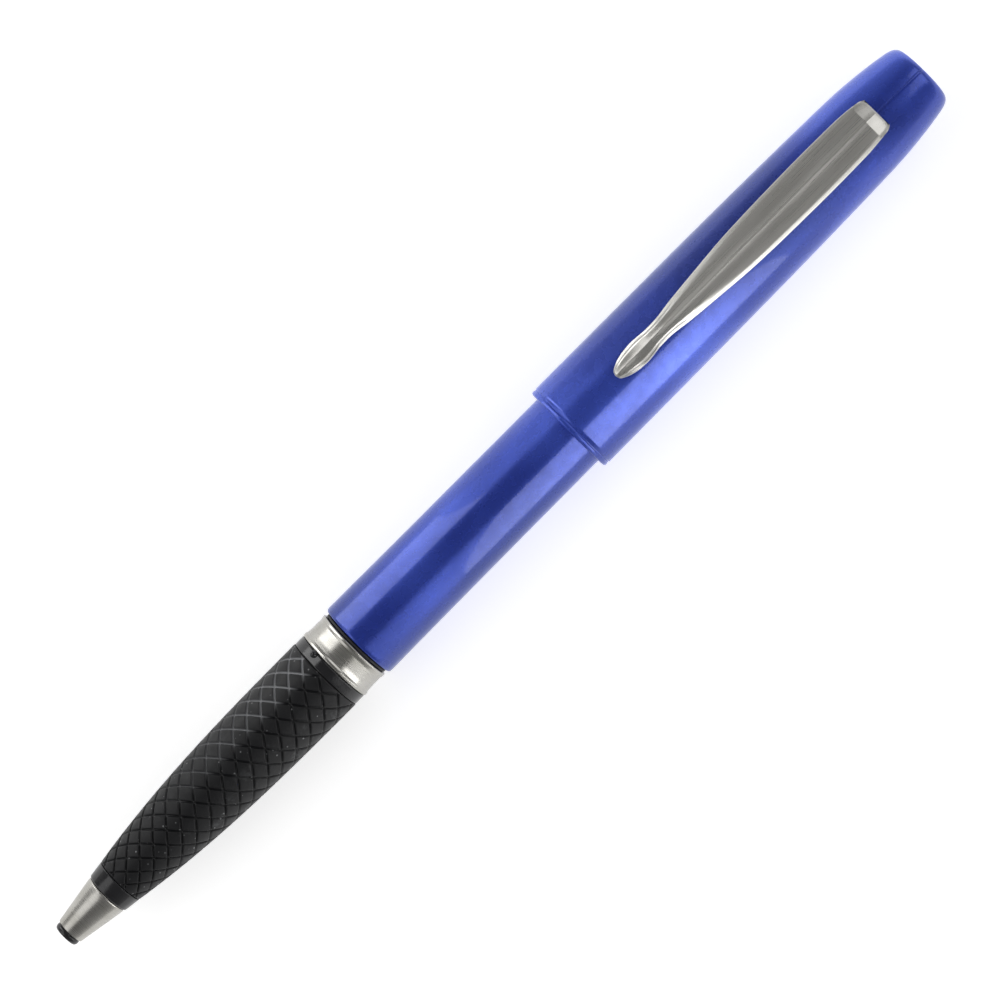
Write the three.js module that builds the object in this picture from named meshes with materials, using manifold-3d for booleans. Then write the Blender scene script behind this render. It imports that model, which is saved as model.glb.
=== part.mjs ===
// A rollerball pen lying on its side, in millimetres: nose towards -X, crown towards +X, clip up (+Z).
// Every station below is measured along the pen from the front of the nose.
import * as THREE from "three";
import { mergeVertices } from "three/addons/utils/BufferGeometryUtils.js";
import Module from "manifold-3d";

const wasm = await Module();
wasm.setup();

// Driving stations along the pen
const PEN_LENGTH = 140.6;
const CONE_FRONT = 0.82;
const CONE_REAR = 6.95;
const GRIP_FRONT = 9.14;
const GRIP_REAR = 42.95;
const COLLAR_REAR = 44.35;
const RING_FRONT = 44.42;
const RING_REAR = 47.8;
const BARREL_FRONT = 48.3;
const BARREL_REAR = 112;
const CAP_RIM = 82.76;
const CLIP_FRONT = 91;
const CLIP_REAR = 133.1;
const REFILL_REAR = 100.3;

// Driving radii
const CAP_RADIUS = 5.99;
const BARREL_RADIUS = 5.13;
const GRIP_REAR_RADIUS = 4.97;
const GRIP_FRONT_RADIUS = 3.12;
const COLLAR_RADIUS = 4.93;
const THREAD_RADIUS = 3.97;
const REFILL_RADIUS = 2.95;
const STEM_RADIUS = 2.15;
const TIP_RADIUS = 1.15;
const BALL_RADIUS = 0.33;

// Clearances: LOOSE between pieces that move, SEAM between pieces that meet
const LOOSE = 0.12;
const SEAM = 0.07;

// Faceting: a multiple of four, so that a flat faces straight down, up and to each side
const SIDES = 32;
const FINE_SIDES = 16;

const MATERIALS = {
  blue: { color: 0x2d41b4, roughness: 0.28, metalness: 0.25 },
  steel: { color: 0xb9b9b4, roughness: 0.25, metalness: 1.0 },
  gloss_black: { color: 0x141517, roughness: 0.15, metalness: 0.0 },
  rubber: { color: 0x2a2b2e, roughness: 0.8, metalness: 0.0 },
  white_plastic: { color: 0xe4e4df, roughness: 0.45, metalness: 0.0 },
  grey_plastic: { color: 0x55585e, roughness: 0.5, metalness: 0.0 },
  clear_tube: { color: 0xc9d3da, roughness: 0.2, metalness: 0.0 },
  ink: { color: 0x101a4a, roughness: 0.3, metalness: 0.0 },
  brass: { color: 0xb08d4a, roughness: 0.3, metalness: 1.0 },
  carbide: { color: 0x7d8085, roughness: 0.15, metalness: 1.0 },
};

// ---------- geometry helpers ----------

// Keeps positions only, shares equal vertices, drops needle triangles and turns the faces outward.
function sealed(geometry) {
  const bare = geometry.clone();
  bare.deleteAttribute("normal");
  bare.deleteAttribute("uv");
  const merged = mergeVertices(bare, 1e-5);
  const position = merged.attributes.position;
  const index = merged.index.array;
  const corner = [new THREE.Vector3(), new THREE.Vector3(), new THREE.Vector3()];
  const kept = [];
  let volume = 0;
  for (let i = 0; i < index.length; i += 3) {
    const [a, b, c] = [index[i], index[i + 1], index[i + 2]];
    if (a === b || b === c || c === a) continue;
    kept.push(a, b, c);
    [a, b, c].forEach((vertex, k) => corner[k].fromBufferAttribute(position, vertex));
    volume += corner[0].dot(corner[1].clone().cross(corner[2]));
  }
  if (volume < 0) kept.reverse();
  merged.setIndex(kept);
  return merged;
}

function toSolid(geometry) {
  const closed = sealed(geometry);
  const vertProperties = new Float32Array(closed.attributes.position.array);
  const triVerts = new Uint32Array(closed.index.array);
  return new wasm.Manifold(new wasm.Mesh({ numProp: 3, vertProperties, triVerts }));
}

function toGeometry(solid) {
  const mesh = solid.getMesh();
  const geometry = new THREE.BufferGeometry();
  geometry.setAttribute("position", new THREE.BufferAttribute(new Float32Array(mesh.vertProperties), 3));
  geometry.setIndex(Array.from(mesh.triVerts));
  return geometry;
}

// A body of revolution about the pen's axis. The outline is a list of [station, radius]. The flats of
// the faceted wall, not its corners, are at the stated radius.
function turned(outline, sides = SIDES) {
  const grow = 1 / Math.cos(Math.PI / sides);
  const points = outline.map(([station, radius]) => new THREE.Vector2(radius * grow, station));
  const geometry = new THREE.LatheGeometry(points, sides, Math.PI / sides);
  geometry.rotateZ(-Math.PI / 2);
  return sealed(geometry);
}

// A ring or tube: the outline closes on itself.
function tube(outline, sides = SIDES) {
  return turned([...outline, outline[0]], sides);
}

// A box given by its low and high corners.
function block(low, high) {
  const size = high.map((value, axis) => value - low[axis]);
  const geometry = new THREE.BoxGeometry(...size);
  geometry.translate(...low.map((value, axis) => value + size[axis] / 2));
  return geometry;
}

// Turns a geometry about the pen's axis by an angle in degrees, from +Z towards +Y.
function around(geometry, degrees) {
  return geometry.clone().rotateX(-THREE.MathUtils.degToRad(degrees));
}

// ---------- section: nose, grip and threaded spigot ----------

function noseBush() {
  return tube([
    [0, 1.3], [0, 1.44], [0.14, 1.57], [0.32, 1.62], [0.52, 1.62], [0.68, 1.56], [0.75, 1.46],
    [3.2, 1.46], [3.2, 1.28],
  ], FINE_SIDES);
}

function noseCone() {
  return tube([
    [CONE_FRONT, 1.53], [CONE_FRONT, 1.68], [0.92, 1.78], [6.3, 2.67], [6.8, 2.72],
    [CONE_REAR, 2.68], [CONE_REAR, 2.15], [3.4, 2.15], [3.4, 1.53],
  ]);
}

// Radius of the rubber sleeve: slim and steeper at the nose, nearly straight towards the barrel.
const GRIP_CURVE = 2.85;
function gripRadius(station) {
  const share = (station - GRIP_FRONT) / (GRIP_REAR - GRIP_FRONT);
  const rise = 1 - Math.pow(1 - share, GRIP_CURVE);
  return GRIP_FRONT_RADIUS + (GRIP_REAR_RADIUS - GRIP_FRONT_RADIUS) * rise;
}

// The core's waist under the rubber.
const WAIST_FRONT_RADIUS = 2.66;
const WAIST_REAR_RADIUS = 4.05;
function waistRadius(station) {
  const share = (station - GRIP_FRONT) / (GRIP_REAR - GRIP_FRONT);
  const rise = 1 - Math.pow(1 - share, GRIP_CURVE);
  return WAIST_FRONT_RADIUS + (WAIST_REAR_RADIUS - WAIST_FRONT_RADIUS) * rise;
}

function steps(from, to, count) {
  return Array.from({ length: count + 1 }, (_, i) => from + ((to - from) * i) / count);
}

function gripSleeve() {
  const outside = steps(GRIP_FRONT, GRIP_REAR, 12).map((x) => [x, gripRadius(x)]);
  const inside = steps(GRIP_REAR, GRIP_FRONT, 8).map((x) => [x, waistRadius(x) + LOOSE]);
  return tube([...outside, ...inside]);
}

const CORE_REAR = 54.6;
const CORE_BORE = 3.15;
const NECK_BORE = 2.25;
const SNAP_NUBS = 2;
const FIRST_NUB_ANGLE = 27;
const NUB_RADIUS = 0.42;
const NUB_STATION = 43.9;

function sectionCore() {
  const waist = steps(GRIP_FRONT - SEAM, GRIP_REAR + SEAM, 8).map((x) => {
    const held = THREE.MathUtils.clamp(x, GRIP_FRONT, GRIP_REAR);
    return [x, waistRadius(held)];
  });
  const body = toSolid(tube([
    [3.6, 1.45], [3.6, 2.05], [CONE_REAR + SEAM, 2.05],
    [CONE_REAR + SEAM, 2.76], [7.14, 2.87], [8, 2.99], [GRIP_FRONT - SEAM, GRIP_FRONT_RADIUS],
    ...waist,
    [GRIP_REAR + SEAM, 4.88], [43.1, COLLAR_RADIUS], [44.25, COLLAR_RADIUS], [COLLAR_REAR, 4.86],
    [COLLAR_REAR, 4.2], [RING_REAR, 4.2], [RING_REAR, THREAD_RADIUS],
    [CORE_REAR - 0.3, THREAD_RADIUS], [CORE_REAR, THREAD_RADIUS - 0.3], [CORE_REAR, CORE_BORE],
    [19.4, CORE_BORE], [18.4, NECK_BORE], [7.6, NECK_BORE], [7.6, 1.45],
  ]));
  const nub = new THREE.SphereGeometry(NUB_RADIUS, 12, 8).translate(NUB_STATION, 0, COLLAR_RADIUS);
  const nubs = Array.from({ length: SNAP_NUBS }, (_, i) => {
    return toSolid(around(nub, FIRST_NUB_ANGLE + (i * 360) / SNAP_NUBS));
  });
  return toGeometry(nubs.reduce((sum, one) => sum.add(one), body));
}

// ---------- trim ring between section and barrel ----------

function trimRing() {
  return tube([
    [RING_FRONT, 4.3], [RING_FRONT, 4.9], [44.5, 5.0], [44.78, 5.0], [45, 4.88], [45.6, 4.83],
    [47.2, 4.81], [47.45, 4.9], [47.72, 4.9], [RING_REAR, 4.82], [RING_REAR, 4.3],
  ]);
}

function sealRing() {
  return tube([[47.88, 4.06], [47.88, 4.6], [48.0, 4.72], [48.12, 4.72], [48.22, 4.6], [48.22, 4.06]]);
}

// ---------- barrel and the pieces fixed in it ----------

const BARREL_BORE = 4.25;
const END_HOLE = 2.35;
const BUSH_REAR = 56.2;

function barrelTube() {
  return tube([
    [BARREL_FRONT, 4.75], [48.42, 5.0], [48.75, BARREL_RADIUS], [52, 5.11], [58, 5.07],
    [66, 5.04], [83, 5.0], [96, 4.94], [108, 4.85], [111.5, 4.72], [BARREL_REAR, 4.4],
    [BARREL_REAR, END_HOLE], [111.2, END_HOLE], [111.2, BARREL_BORE],
    [BUSH_REAR + SEAM, BARREL_BORE], [BUSH_REAR + SEAM, 4.55], [BARREL_FRONT, 4.55],
  ]);
}

function threadBush() {
  return tube([[48.9, 4.1], [48.9, 4.48], [BUSH_REAR, 4.48], [BUSH_REAR, 4.1]]);
}

function stemEyelet() {
  return tube([
    [112.07, END_HOLE], [112.07, 3.4], [112.5, 3.4], [112.75, 3.1], [112.75, END_HOLE],
  ]);
}

const GUIDE_RIBS = 4;
function guideSleeve() {
  const sleeve = toSolid(tube([[96.5, 3.5], [96.5, 4.13], [111.1, 4.13], [111.1, 3.5]]));
  const rib = block([105.6, -0.4, 3.2], [110.9, 0.4, 3.8]);
  const ribs = Array.from({ length: GUIDE_RIBS }, (_, i) => toSolid(around(rib, (i * 360) / GUIDE_RIBS)));
  return toGeometry(ribs.reduce((sum, one) => sum.add(one), sleeve));
}

// ---------- thrust mechanism ----------

const CAM_TEETH = 8;
const PLUNGER_FRONT = 104.2;
const ROTOR_REAR = 103.9;
const TOOTH_DEPTH = 0.55;

// V-shaped notches across a ring's end face, which leave a crown of teeth.
function cutTeeth(solid, station, phase) {
  const side = TOOTH_DEPTH * Math.SQRT2;
  const notch = new THREE.BoxGeometry(side, side, 4).rotateZ(Math.PI / 4).translate(station, 0, 2.9);
  for (let i = 0; i < CAM_TEETH; i += 1) {
    solid = solid.subtract(toSolid(around(notch, ((i + phase) * 360) / CAM_TEETH)));
  }
  return solid;
}

function plunger() {
  const body = toSolid(turned([
    [107, 0], [107, 1.9], [PLUNGER_FRONT, 1.9], [PLUNGER_FRONT, 3.0], [107.9, 3.0],
    [107.9, STEM_RADIUS], [125.7, STEM_RADIUS], [126.15, 1.7], [126.15, 0],
  ]));
  return toGeometry(cutTeeth(body, PLUNGER_FRONT, 0));
}

function camRotor() {
  const body = toSolid(turned([
    [100.5, 0], [100.5, 1.6], [101, 2.2], [101.4, 2.9], [ROTOR_REAR, 2.9], [ROTOR_REAR, 1.9],
    [102.4, 1.9], [102.4, 0],
  ]));
  const rib = block([101.5, -0.35, 2.6], [103.2, 0.35, 3.32]);
  const ribs = Array.from({ length: GUIDE_RIBS }, (_, i) => {
    return toSolid(around(rib, ((i + 0.5) * 360) / GUIDE_RIBS));
  });
  const ribbed = ribs.reduce((sum, one) => sum.add(one), body);
  return toGeometry(cutTeeth(ribbed, ROTOR_REAR, 0.5));
}

// ---------- refill ----------

const TIP_FRONT = 2.0;
const TIP_REAR = 14.4;
const NECK_FRONT = 12.9;
const NECK_RADIUS = 1.55;

function refillTip() {
  return tube([
    [TIP_FRONT, 0.38], [TIP_FRONT, 0.46], [4.4, TIP_RADIUS], [TIP_REAR, TIP_RADIUS], [TIP_REAR, 0.3],
    [TIP_FRONT + 0.62, 0.3], [TIP_FRONT + 0.55, 0.38],
  ], FINE_SIDES);
}

function writingBall() {
  const ball = new THREE.SphereGeometry(BALL_RADIUS, 12, 8);
  return sealed(ball.translate(TIP_FRONT + 0.1, 0, 0));
}

function refillNeck() {
  return tube([
    [NECK_FRONT, 1.25], [NECK_FRONT, 1.4], [NECK_FRONT + 0.4, NECK_RADIUS], [24.2, NECK_RADIUS],
    [24.2, 2.1], [25, 2.1], [26.2, 2.9], [26.5, 2.9], [26.5, 2.45], [31, 2.45], [31, 0.6],
    [TIP_REAR + 0.1, 0.6], [TIP_REAR + 0.1, 1.25],
  ], FINE_SIDES);
}

function refillTube() {
  return tube([
    [26.57, 2.55], [26.57, REFILL_RADIUS], [REFILL_REAR, REFILL_RADIUS], [REFILL_REAR, 2.55],
  ], FINE_SIDES);
}

function inkFill() {
  return turned([[31.1, 0], [31.1, 2.45], [90, 2.45], [90, 0]], FINE_SIDES);
}

function refillPlug() {
  return turned([[95.5, 0], [95.5, 2.1], [96.3, 2.47], [REFILL_REAR, 2.47], [REFILL_REAR, 0]], FINE_SIDES);
}

const SPRING_RADIUS = 1.9;
const WIRE_RADIUS = 0.19;
const SPRING_FRONT = 7.95;
const SPRING_REAR = 23.9;
const SPRING_COILS = 9;

class SpringPath extends THREE.Curve {
  getPoint(share, target = new THREE.Vector3()) {
    const angle = share * SPRING_COILS * 2 * Math.PI;
    const station = SPRING_FRONT + (SPRING_REAR - SPRING_FRONT) * share;
    return target.set(station, SPRING_RADIUS * Math.cos(angle), SPRING_RADIUS * Math.sin(angle));
  }
}

function refillSpring() {
  const wire = new THREE.Shape();
  wire.absarc(0, 0, WIRE_RADIUS, 0, 2 * Math.PI);
  const options = { steps: SPRING_COILS * 10, curveSegments: 3, bevelEnabled: false, extrudePath: new SpringPath() };
  return sealed(new THREE.ExtrudeGeometry(wire, options));
}

// ---------- cap ----------

const CLIP_SLOT_FRONT = 129.45;
const CLIP_SLOT_REAR = 132.15;
const CLIP_SLOT_HALF = 1.5;

function clipSlot(low, high) {
  return toSolid(block([CLIP_SLOT_FRONT, -CLIP_SLOT_HALF, low], [CLIP_SLOT_REAR, CLIP_SLOT_HALF, high]));
}

function capShell() {
  const shell = toSolid(turned([
    [138.6, 0], [138.6, 3.2], [135, 4.3], [131, 4.75], [128, 4.95], [117.3, 5.0], [117.3, 5.2],
    [CAP_RIM + 0.15, 5.25], [CAP_RIM, 5.4], [CAP_RIM, 5.75], [82.9, 5.93], [83.2, CAP_RADIUS],
    [95, 5.95], [105, 5.91], [113, 5.85], [119, 5.77], [126, 5.64], [131.3, 5.49], [134.2, 5.27],
    [136.5, 5.01], [138.3, 4.74], [139.5, 4.5], [140.15, 4.22], [140.5, 3.85], [PEN_LENGTH, 3.45],
    [PEN_LENGTH, 0],
  ]));
  const groove = toSolid(block([CLIP_REAR, -0.2, 4.2], [PEN_LENGTH + 1, 0.2, 6]));
  const grooveFloor = toSolid(turned([
    [CLIP_REAR - 1, 0], [CLIP_REAR - 1, 5.2], [134.2, 5.13], [136.5, 4.87], [138.3, 4.6],
    [139.5, 4.36], [140.3, 4.0], [PEN_LENGTH + 2, 4.0], [PEN_LENGTH + 2, 0],
  ]));
  return toGeometry(shell.subtract(clipSlot(4, 6.5)).subtract(groove.subtract(grooveFloor)));
}

function capLiner() {
  return turned([
    [126.3, 0], [126.3, 2.3], [118.2, 2.3], [118.2, 4.87], [127, 4.84], [128.3, 4.8], [128.3, 0],
  ]);
}

function crownPlug() {
  const plug = toSolid(turned([
    [128.6, 0], [128.6, 4.78], [131, 4.62], [135, 4.15], [138.3, 3.1], [138.3, 0],
  ]));
  return toGeometry(plug.subtract(clipSlot(3.4, 6)));
}

// ---------- pocket clip ----------

const CLIP_TOP = 7.75;
const CLIP_UNDER = 6.95;
const CLIP_HALF = 2.74;
const CLIP_FALL = 0.36;
const PAD_HALF = 1.5;
const NECK_HALF = 1.17;
const END_HALF = 2.2;

// Half of the outline seen from above, from the free end to the root end: a rounded pad, a slim neck,
// then a leaf that is widest two thirds of the way along.
function clipPlanPoints() {
  return [
    [CLIP_FRONT, 0], [91.1, 0.45], [91.6, 0.82], [92.6, 1.22], [93.8, 1.44], [94.9, PAD_HALF],
    [96.0, 1.4], [97.0, 1.22], [98.2, NECK_HALF], [101.5, 1.58], [105.7, 2.05], [111.5, 2.5],
    [117.3, 2.67], [123.1, CLIP_HALF], [128.8, 2.68], [131.9, 2.42], [132.8, END_HALF], [CLIP_REAR, 1.9],
  ];
}

function clipPlan() {
  const half = clipPlanPoints();
  const other = half.slice(1).reverse().map(([x, y]) => [x, -y]);
  const shape = new THREE.Shape([...half, ...other].map(([x, y]) => new THREE.Vector2(x, y)));
  return new THREE.ExtrudeGeometry(shape, { depth: 9, bevelEnabled: false });
}

// The side view: a flat bar whose free end bows down to a pad that rests just off the cap.
function clipSide() {
  const outline = [
    [CLIP_FRONT, 6.4], [91.15, 6.16], [91.8, 6.06], [93.8, 6.05], [95, 6.3], [97, 6.75],
    [99.2, CLIP_UNDER], [131.9, CLIP_UNDER], [132.5, 6.5], [132.95, 6.5], [CLIP_REAR, 6.8], [132.9, 7.4],
    [132.5, 7.66], [131.8, CLIP_TOP], [99, CLIP_TOP], [97, 7.6], [95.2, 7.15], [94, 6.95],
    [92.4, 6.86], [91.5, 6.74],
  ];
  const shape = new THREE.Shape(outline.map(([x, z]) => new THREE.Vector2(x, z)));
  const geometry = new THREE.ExtrudeGeometry(shape, { depth: 6, bevelEnabled: false });
  return geometry.rotateX(Math.PI / 2).translate(0, 3, 0);
}

// A low roof along the whole clip, which gives it a centre ridge.
function clipRoof() {
  const reach = 3;
  const edge = CLIP_TOP - (CLIP_FALL * reach) / CLIP_HALF;
  const outline = [[-reach, 0], [reach, 0], [reach, edge], [0, CLIP_TOP], [-reach, edge]];
  const shape = new THREE.Shape(outline.map(([y, z]) => new THREE.Vector2(y, z)));
  const geometry = new THREE.ExtrudeGeometry(shape, { depth: 50, bevelEnabled: false });
  const swap = new THREE.Matrix4().set(0, 0, 1, CLIP_FRONT - 3, 1, 0, 0, 0, 0, 1, 0, 0, 0, 0, 0, 1);
  return geometry.applyMatrix4(swap);
}

function pocketClip() {
  const bar = toSolid(clipSide()).intersect(toSolid(clipPlan())).intersect(toSolid(clipRoof()));
  const root = toSolid(block([129.9, -1.2, 3.9], [131.7, 1.2, 7.1]));
  return toGeometry(bar.add(root));
}

// ---------- assembly ----------

const PIECES = [
  ["nose_bush", noseBush, "gloss_black"],
  ["nose_cone", noseCone, "steel"],
  ["section_core", sectionCore, "gloss_black"],
  ["grip_sleeve", gripSleeve, "rubber"],
  ["trim_ring", trimRing, "steel"],
  ["seal_ring", sealRing, "rubber"],
  ["barrel_tube", barrelTube, "blue"],
  ["thread_bush", threadBush, "brass"],
  ["stem_eyelet", stemEyelet, "steel"],
  ["guide_sleeve", guideSleeve, "white_plastic"],
  ["plunger", plunger, "grey_plastic"],
  ["cam_rotor", camRotor, "white_plastic"],
  ["refill_tip", refillTip, "brass"],
  ["writing_ball", writingBall, "carbide"],
  ["refill_neck", refillNeck, "gloss_black"],
  ["refill_tube", refillTube, "clear_tube"],
  ["ink_fill", inkFill, "ink"],
  ["refill_plug", refillPlug, "white_plastic"],
  ["refill_spring", refillSpring, "steel"],
  ["cap_shell", capShell, "blue"],
  ["cap_liner", capLiner, "grey_plastic"],
  ["crown_plug", crownPlug, "grey_plastic"],
  ["pocket_clip", pocketClip, "steel"],
];

const pen = new THREE.Group();
pen.position.set(-PEN_LENGTH / 2, 0, CAP_RADIUS);
for (const [name, build, look] of PIECES) {
  const mesh = new THREE.Mesh(build(), new THREE.MeshStandardMaterial(MATERIALS[look]));
  mesh.name = name;
  pen.add(mesh);
}

const part = new THREE.Group();
part.add(pen);

export default part;
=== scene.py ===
"""A pearl-blue rollerball pen with a posted cap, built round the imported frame. Lengths named in MM
are millimetres from the nose ("stations") or from the pen's axis ("radii")."""

import math

import bpy
import numpy as np
from mathutils import Matrix, Vector


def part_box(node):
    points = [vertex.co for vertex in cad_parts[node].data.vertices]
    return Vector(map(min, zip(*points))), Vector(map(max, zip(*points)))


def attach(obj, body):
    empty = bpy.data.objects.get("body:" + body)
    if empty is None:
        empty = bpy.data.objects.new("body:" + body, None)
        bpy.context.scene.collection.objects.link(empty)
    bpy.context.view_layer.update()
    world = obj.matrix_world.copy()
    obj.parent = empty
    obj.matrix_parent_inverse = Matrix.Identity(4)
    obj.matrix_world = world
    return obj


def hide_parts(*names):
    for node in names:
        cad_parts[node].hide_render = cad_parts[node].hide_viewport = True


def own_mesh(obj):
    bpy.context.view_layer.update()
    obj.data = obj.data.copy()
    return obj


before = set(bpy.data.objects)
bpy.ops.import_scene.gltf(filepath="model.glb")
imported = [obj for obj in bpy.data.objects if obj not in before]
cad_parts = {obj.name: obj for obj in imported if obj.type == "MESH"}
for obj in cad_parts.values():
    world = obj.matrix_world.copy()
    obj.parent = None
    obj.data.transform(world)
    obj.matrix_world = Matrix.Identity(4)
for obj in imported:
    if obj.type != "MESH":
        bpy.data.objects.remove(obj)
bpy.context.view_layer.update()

# ---------- places taken from the frame ----------

MM = 0.001
NOSE_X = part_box("nose_bush")[0].x


def node_span(node):
    """The first and last station of a CAD node, in millimetres from the nose."""
    low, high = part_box(node)
    return (low.x - NOSE_X) / MM, (high.x - NOSE_X) / MM


def node_radius(node):
    """The outer radius of a turned CAD node, in millimetres."""
    low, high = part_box(node)
    return (high.y - low.y) / 2 / MM


cap_low, cap_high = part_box("cap_shell")
barrel_low, barrel_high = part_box("barrel_tube")
AXIS_Z = (barrel_low.z + barrel_high.z) / 2
PEN_LENGTH = (cap_high.x - NOSE_X) / MM
CAP_RIM = node_span("cap_shell")[0]
CAP_RADIUS = node_radius("cap_shell")
CLIP_FRONT, CLIP_REAR = node_span("pocket_clip")
CLIP_TOP = (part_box("pocket_clip")[1].z - AXIS_Z) / MM
CLIP_HALF = node_radius("pocket_clip")
BARREL_FRONT, BARREL_REAR = node_span("barrel_tube")
BARREL_RADIUS = node_radius("barrel_tube")
GRIP_FRONT, GRIP_REAR = node_span("grip_sleeve")
CONE_FRONT, CONE_REAR = node_span("nose_cone")
RING_FRONT, RING_REAR = node_span("trim_ring")
CORE_REAR = node_span("section_core")[1]
SEAM = 0.07


def at(station, y=0.0, z=0.0):
    """A point in metres, from a station and offsets from the axis in millimetres."""
    return (NOSE_X + station * MM, y * MM, AXIS_Z + z * MM)


# ---------- mesh helpers ----------

def finish_mesh(name, points, faces, material, body, replaced=()):
    """Makes an object from points in metres, smooth shaded, that rides on a CAD body."""
    mesh = bpy.data.meshes.new(name)
    mesh.from_pydata([tuple(p) for p in points], [], [tuple(f) for f in faces])
    mesh.validate()
    mesh.polygons.foreach_set("use_smooth", [True] * len(mesh.polygons))
    mesh.materials.append(material)
    piece = bpy.data.objects.new(name, mesh)
    bpy.context.scene.collection.objects.link(piece)
    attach(piece, body)
    if replaced:
        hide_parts(*replaced)
    return piece


SHARP = 1e-4
LARGEST_REACH = 0.45
ROOM_TO_HOLD = 4


def filleted(corners, arc_steps=4, hold=0.06):
    """Rounds a closed outline of (station, radius, fillet) corners. Each corner becomes a short
    arc, with a point held beside it on each long flat, so that the flat shades flat. A fillet
    takes at most LARGEST_REACH of the flats next to it."""
    rounded = []
    count = len(corners)
    for i, (x, r, fillet) in enumerate(corners):
        corner = np.array([x, r])
        before = np.array(corners[i - 1][:2]) - corner
        after = np.array(corners[(i + 1) % count][:2]) - corner
        length_before, length_after = np.linalg.norm(before), np.linalg.norm(after)
        reach = min(fillet, LARGEST_REACH * length_before, LARGEST_REACH * length_after)
        if reach < SHARP:
            rounded.append(corner)
            continue
        start = corner + before / length_before * reach
        end = corner + after / length_after * reach
        if length_before > ROOM_TO_HOLD * reach:
            rounded.append(start + before / length_before * min(hold, reach))
        for k in range(arc_steps + 1):
            t = k / arc_steps
            rounded.append((1 - t) ** 2 * start + 2 * t * (1 - t) * corner + t * t * end)
        if length_after > ROOM_TO_HOLD * reach:
            rounded.append(end + after / length_after * min(hold, reach))
    return rounded


def even_angles(sides):
    return [2 * math.pi * i / sides for i in range(sides)]


def lathe(outline, angles, carve=None):
    """Points and quads of a closed outline turned round the axis. Angle 0 is up, through the
    clip. carve(station, radius, angle) gives the radius to use where a surface isn't round."""
    points, faces = [], []
    rows = len(outline)
    for angle in angles:
        for station, radius in outline:
            if carve:
                radius = carve(station, radius, angle)
            points.append(at(station, radius * math.sin(angle), radius * math.cos(angle)))
    turns = len(angles)
    for j in range(turns):
        k = (j + 1) % turns
        for i in range(rows):
            n = (i + 1) % rows
            faces.append((j * rows + i, j * rows + n, k * rows + n, k * rows + i))
    return points, faces


def joined(*parts):
    """Several (points, faces) meshes as one."""
    points, faces = [], []
    for some_points, some_faces in parts:
        offset = len(points)
        points.extend(some_points)
        faces.extend(tuple(i + offset for i in face) for face in some_faces)
    return points, faces


def smooth_curve(knots):
    """A function through (x, value) knots that doesn't overshoot them (monotone cubic)."""
    x = np.array([k[0] for k in knots], float)
    y = np.array([k[1] for k in knots], float)
    step = np.diff(x)
    slope = np.diff(y) / step
    tangent = np.zeros_like(y)
    tangent[0], tangent[-1] = slope[0], slope[-1]
    for i in range(1, len(x) - 1):
        if slope[i - 1] * slope[i] > 0:
            tangent[i] = 2 * slope[i - 1] * slope[i] / (slope[i - 1] + slope[i])

    def value(at_x):
        i = int(np.clip(np.searchsorted(x, at_x) - 1, 0, len(x) - 2))
        t = min(max((at_x - x[i]) / step[i], 0.0), 1.0)
        blend = np.array([
            2 * t**3 - 3 * t * t + 1, t**3 - 2 * t * t + t, 3 * t * t - 2 * t**3, t**3 - t * t,
        ])
        return float(blend @ [y[i], step[i] * tangent[i], y[i + 1], step[i] * tangent[i + 1]])

    return value


def smoothstep(low, high, value):
    """0 below low and 1 above high, with a smooth rise between them."""
    t = min(max((value - low) / (high - low), 0.0), 1.0)
    return t * t * (3 - 2 * t)


# ---------- materials ----------

COLOUR_MIX_INPUTS = (0, 6, 7)
COLOUR_MIX_OUTPUT = 2


def as_colour(value):
    """A colour with alpha, from a colour or a grey."""
    return (*value, 1) if hasattr(value, "__len__") else (value, value, value, 1)


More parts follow.
